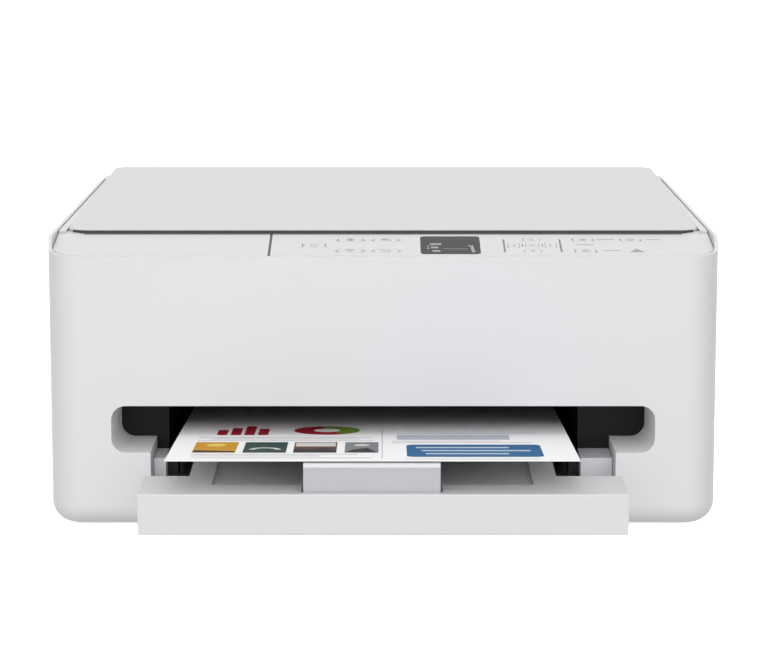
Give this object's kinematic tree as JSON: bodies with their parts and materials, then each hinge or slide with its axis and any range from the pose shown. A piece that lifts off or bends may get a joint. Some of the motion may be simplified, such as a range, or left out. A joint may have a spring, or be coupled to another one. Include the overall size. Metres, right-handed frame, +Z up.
{
  "type": "inkjet multifunction printer",
  "caption": "Low, wide inkjet printer with a flatbed scanner on top, a keyed control panel, a drawn-out output tray and a front paper cassette.",
  "frame": {"origin": "on the desk, under the middle of the bounding box with the output tray drawn out", "axes": "+Z up, +Y towards the rear of the printer, +X to the right seen from the front"},
  "size_m": [0.372, 0.4506, 0.1683],
  "materials": {
    "body_plastic": "fine matte moulding grain",
    "lid_plastic": "fine matte moulding grain",
    "tray_plastic": "satin",
    "key_plastic": "satin",
    "display_window": "glossy, dark",
    "black_plastic": "fine matte",
    "base_plastic": "matte",
    "grey_plastic": "satin",
    "gear_plastic": "natural acetal",
    "service_plastic": "matte",
    "black_ink_shell": "satin",
    "colour_ink_shell": "satin",
    "white_backing": "smooth white sheet on foam",
    "scan_glass": "clear, polished",
    "scan_head": "satin",
    "rubber": "matte",
    "belt_rubber": "matte",
    "bright_steel": "ground",
    "zinc_sheet": "zinc-plated sheet",
    "motor_can": "plated can",
    "arm_plastic": "satin",
    "paper": "smooth coated paper",
    "circuit_board": "solder mask"
  },
  "bodies": {
    "body": {"outer_casing": "body_plastic", "bottom_case": "base_plastic", "rubber_feet": "rubber", "rear_panel": "body_plastic", "exit_frame": "black_plastic", "tray_guides": "grey_plastic", "inner_deck": "black_plastic", "chassis_frame": "zinc_sheet", "guide_rail": "bright_steel", "drive_belt": "belt_rubber", "carriage_motor": "motor_can", "feed_motor": "motor_can", "platen": "black_plastic", "hold_down_rollers": "black_plastic", "purge_unit": "service_plastic", "power_supply": "service_plastic", "main_board": "circuit_board"},
    "scanner": {"scanner_case": "body_plastic", "scanner_frame": "body_plastic", "scanner_glass": "scan_glass", "scan_rail": "bright_steel", "operation_panel": "body_plastic", "display": "display_window"},
    "lid": {"lid_shell": "lid_plastic", "lid_pad": "white_backing", "lid_hinges": "grey_plastic"},
    "tray": {"output_tray": "tray_plastic"},
    "support": {"paper_support": "tray_plastic"},
    "sheet": {"printed_sheet": "paper"},
    "cassette": {"cassette": "tray_plastic"},
    "left_guide": {"width_guide_left": "grey_plastic"},
    "right_guide": {"width_guide_right": "grey_plastic"},
    "pinion": {"guide_pinion": "grey_plastic"},
    "rear_guide": {"length_guide": "grey_plastic"},
    "scan_head": {"scan_bar": "scan_head"},
    "carriage": {"carriage": "black_plastic", "black_cartridge": "black_ink_shell", "colour_cartridge": "colour_ink_shell"},
    "motor_pulley": {"motor_pulley": "gear_plastic"},
    "idler_pulley": {"idler_pulley": "gear_plastic"},
    "feed_roller": {"feed_roller": "bright_steel"},
    "eject_roller": {"eject_roller": "bright_steel"},
    "idler_gear": {"idler_gear": "gear_plastic"},
    "motor_pinion": {"motor_pinion": "gear_plastic"},
    "pickup_arm": {"pickup_arm": "arm_plastic"},
    "pickup_roller": {"pickup_roller": "rubber"},
    "rear_door": {"transport_cover": "body_plastic"},
    "power_key": {"power_key": "key_plastic"},
    "menu_key_rear_left": {"menu_key_rear_left": "key_plastic"},
    "menu_key_rear_right": {"menu_key_rear_right": "key_plastic"},
    "menu_key_front_left": {"menu_key_front_left": "key_plastic"},
    "menu_key_front_right": {"menu_key_front_right": "key_plastic"},
    "left_key": {"left_key": "key_plastic"},
    "right_key": {"right_key": "key_plastic"},
    "up_key": {"up_key": "key_plastic"},
    "down_key": {"down_key": "key_plastic"},
    "ok_key": {"ok_key": "key_plastic"},
    "stop_key": {"stop_key": "key_plastic"},
    "black_key": {"black_key": "key_plastic"},
    "colour_key": {"colour_key": "key_plastic"}
  },
  "joints": [
    {"name": "scanner_unit_hinge", "type": "hinge", "parent": "body", "child": "scanner", "pos_m": [0, 0.21125, 0.128], "axis": [-1, 0, 0], "range_deg": [0, 40]},
    {"name": "document_cover_hinge", "type": "hinge", "parent": "scanner", "child": "lid", "pos_m": [0, 0.21775, 0.1575], "axis": [-1, 0, 0], "range_deg": [0, 80]},
    {"name": "tray_slide", "type": "slide", "parent": "body", "child": "tray", "axis": [0, -1, 0], "range_m": [-0.1055, 0]},
    {"name": "paper_support_hinge", "type": "hinge", "parent": "tray", "child": "support", "pos_m": [0, -0.21865, 0.0419], "axis": [-1, 0, 0], "range_deg": [0, 90]},
    {"name": "sheet_slide", "type": "slide", "parent": "tray", "child": "sheet", "axis": [0, -0.9975, 0.0705], "range_m": [0, 0.25]},
    {"name": "cassette_slide", "type": "slide", "parent": "body", "child": "cassette", "axis": [0, -1, 0], "range_m": [0, 0.2]},
    {"name": "left_guide_slide", "type": "slide", "parent": "cassette", "child": "left_guide", "axis": [1, 0, 0], "range_m": [0, 0.045]},
    {"name": "right_guide_slide", "type": "slide", "parent": "cassette", "child": "right_guide", "axis": [-1, 0, 0], "range_m": [0, 0.045]},
    {"name": "guide_pinion_turn", "type": "hinge", "parent": "cassette", "child": "pinion", "pos_m": [-0.00555, 0.09525, 0], "axis": [0, 0, 1], "range_deg": [0, 246]},
    {"name": "rear_guide_slide", "type": "slide", "parent": "cassette", "child": "rear_guide", "axis": [0, 1, 0], "range_m": [0, 0.127]},
    {"name": "scan_head_slide", "type": "slide", "parent": "scanner", "child": "scan_head", "axis": [1, 0, 0], "range_m": [0, 0.292]},
    {"name": "carriage_slide", "type": "slide", "parent": "body", "child": "carriage", "axis": [-1, 0, 0], "range_m": [0, 0.26]},
    {"name": "motor_pulley_turn", "type": "hinge", "parent": "body", "child": "motor_pulley", "pos_m": [-0.156, 0.15575, 0.1], "axis": [0, -1, 0], "range_deg": [0, 2260]},
    {"name": "idler_pulley_turn", "type": "hinge", "parent": "body", "child": "idler_pulley", "pos_m": [0.16, 0.15575, 0.1], "axis": [0, -1, 0], "range_deg": [0, 2260]},
    {"name": "feed_roller_turn", "type": "hinge", "parent": "body", "child": "feed_roller", "pos_m": [0, 0.14225, 0.0662], "axis": [1, 0, 0], "continuous": true},
    {"name": "eject_roller_turn", "type": "hinge", "parent": "body", "child": "eject_roller", "pos_m": [0, 0.06825, 0.0662], "axis": [1, 0, 0], "continuous": true},
    {"name": "idler_gear_turn", "type": "hinge", "parent": "body", "child": "idler_gear", "pos_m": [0, 0.10525, 0.0662], "axis": [1, 0, 0], "continuous": true},
    {"name": "motor_pinion_turn", "type": "hinge", "parent": "body", "child": "motor_pinion", "pos_m": [0, 0.12387, 0.04782], "axis": [1, 0, 0], "continuous": true},
    {"name": "pickup_arm_hinge", "type": "hinge", "parent": "body", "child": "pickup_arm", "pos_m": [0, 0.13225, 0.029], "axis": [1, 0, 0], "range_deg": [0, 8]},
    {"name": "pickup_roller_turn", "type": "hinge", "parent": "pickup_arm", "child": "pickup_roller", "pos_m": [0, 0.17475, 0.0162], "axis": [1, 0, 0], "continuous": true},
    {"name": "rear_door_hinge", "type": "hinge", "parent": "body", "child": "rear_door", "pos_m": [0, 0.22205, 0.0206], "axis": [-1, 0, 0], "range_deg": [0, 60]},
    {"name": "power_key_press", "type": "slide", "parent": "scanner", "child": "power_key", "axis": [0, 0.1546, -0.988], "range_m": [0, 0.0004], "stiffness_N_per_m": 1500, "springref_m": -0.0002},
    {"name": "menu_key_rear_left_press", "type": "slide", "parent": "scanner", "child": "menu_key_rear_left", "axis": [0, 0.1546, -0.988], "range_m": [0, 0.0004], "stiffness_N_per_m": 1500, "springref_m": -0.0002},
    {"name": "menu_key_rear_right_press", "type": "slide", "parent": "scanner", "child": "menu_key_rear_right", "axis": [0, 0.1546, -0.988], "range_m": [0, 0.0004], "stiffness_N_per_m": 1500, "springref_m": -0.0002},
    {"name": "menu_key_front_left_press", "type": "slide", "parent": "scanner", "child": "menu_key_front_left", "axis": [0, 0.1546, -0.988], "range_m": [0, 0.0004], "stiffness_N_per_m": 1500, "springref_m": -0.0002},
    {"name": "menu_key_front_right_press", "type": "slide", "parent": "scanner", "child": "menu_key_front_right", "axis": [0, 0.1546, -0.988], "range_m": [0, 0.0004], "stiffness_N_per_m": 1500, "springref_m": -0.0002},
    {"name": "left_key_press", "type": "slide", "parent": "scanner", "child": "left_key", "axis": [0, 0.1546, -0.988], "range_m": [0, 0.0004], "stiffness_N_per_m": 1500, "springref_m": -0.0002},
    {"name": "right_key_press", "type": "slide", "parent": "scanner", "child": "right_key", "axis": [0, 0.1546, -0.988], "range_m": [0, 0.0004], "stiffness_N_per_m": 1500, "springref_m": -0.0002},
    {"name": "up_key_press", "type": "slide", "parent": "scanner", "child": "up_key", "axis": [0, 0.1546, -0.988], "range_m": [0, 0.0004], "stiffness_N_per_m": 1500, "springref_m": -0.0002},
    {"name": "down_key_press", "type": "slide", "parent": "scanner", "child": "down_key", "axis": [0, 0.1546, -0.988], "range_m": [0, 0.0004], "stiffness_N_per_m": 1500, "springref_m": -0.0002},
    {"name": "ok_key_press", "type": "slide", "parent": "scanner", "child": "ok_key", "axis": [0, 0.1546, -0.988], "range_m": [0, 0.0004], "stiffness_N_per_m": 1500, "springref_m": -0.0002},
    {"name": "stop_key_press", "type": "slide", "parent": "scanner", "child": "stop_key", "axis": [0, 0.1546, -0.988], "range_m": [0, 0.0004], "stiffness_N_per_m": 1500, "springref_m": -0.0002},
    {"name": "black_key_press", "type": "slide", "parent": "scanner", "child": "black_key", "axis": [0, 0.1546, -0.988], "range_m": [0, 0.0004], "stiffness_N_per_m": 1500, "springref_m": -0.0002},
    {"name": "colour_key_press", "type": "slide", "parent": "scanner", "child": "colour_key", "axis": [0, 0.1546, -0.988], "range_m": [0, 0.0004], "stiffness_N_per_m": 1500, "springref_m": -0.0002}
  ],
  "couplings": [
    {"joint": "right_guide_slide", "follows": "left_guide_slide", "ratio": 1},
    {"joint": "guide_pinion_turn", "follows": "left_guide_slide", "rad_per_m": 95.238},
    {"joint": "motor_pulley_turn", "follows": "carriage_slide", "rad_per_m": 149.25},
    {"joint": "idler_pulley_turn", "follows": "carriage_slide", "rad_per_m": 149.25},
    {"joint": "eject_roller_turn", "follows": "feed_roller_turn", "ratio": 1},
    {"joint": "idler_gear_turn", "follows": "feed_roller_turn", "ratio": -1.1765},
    {"joint": "motor_pinion_turn", "follows": "feed_roller_turn", "ratio": -3.3333}
  ]
}
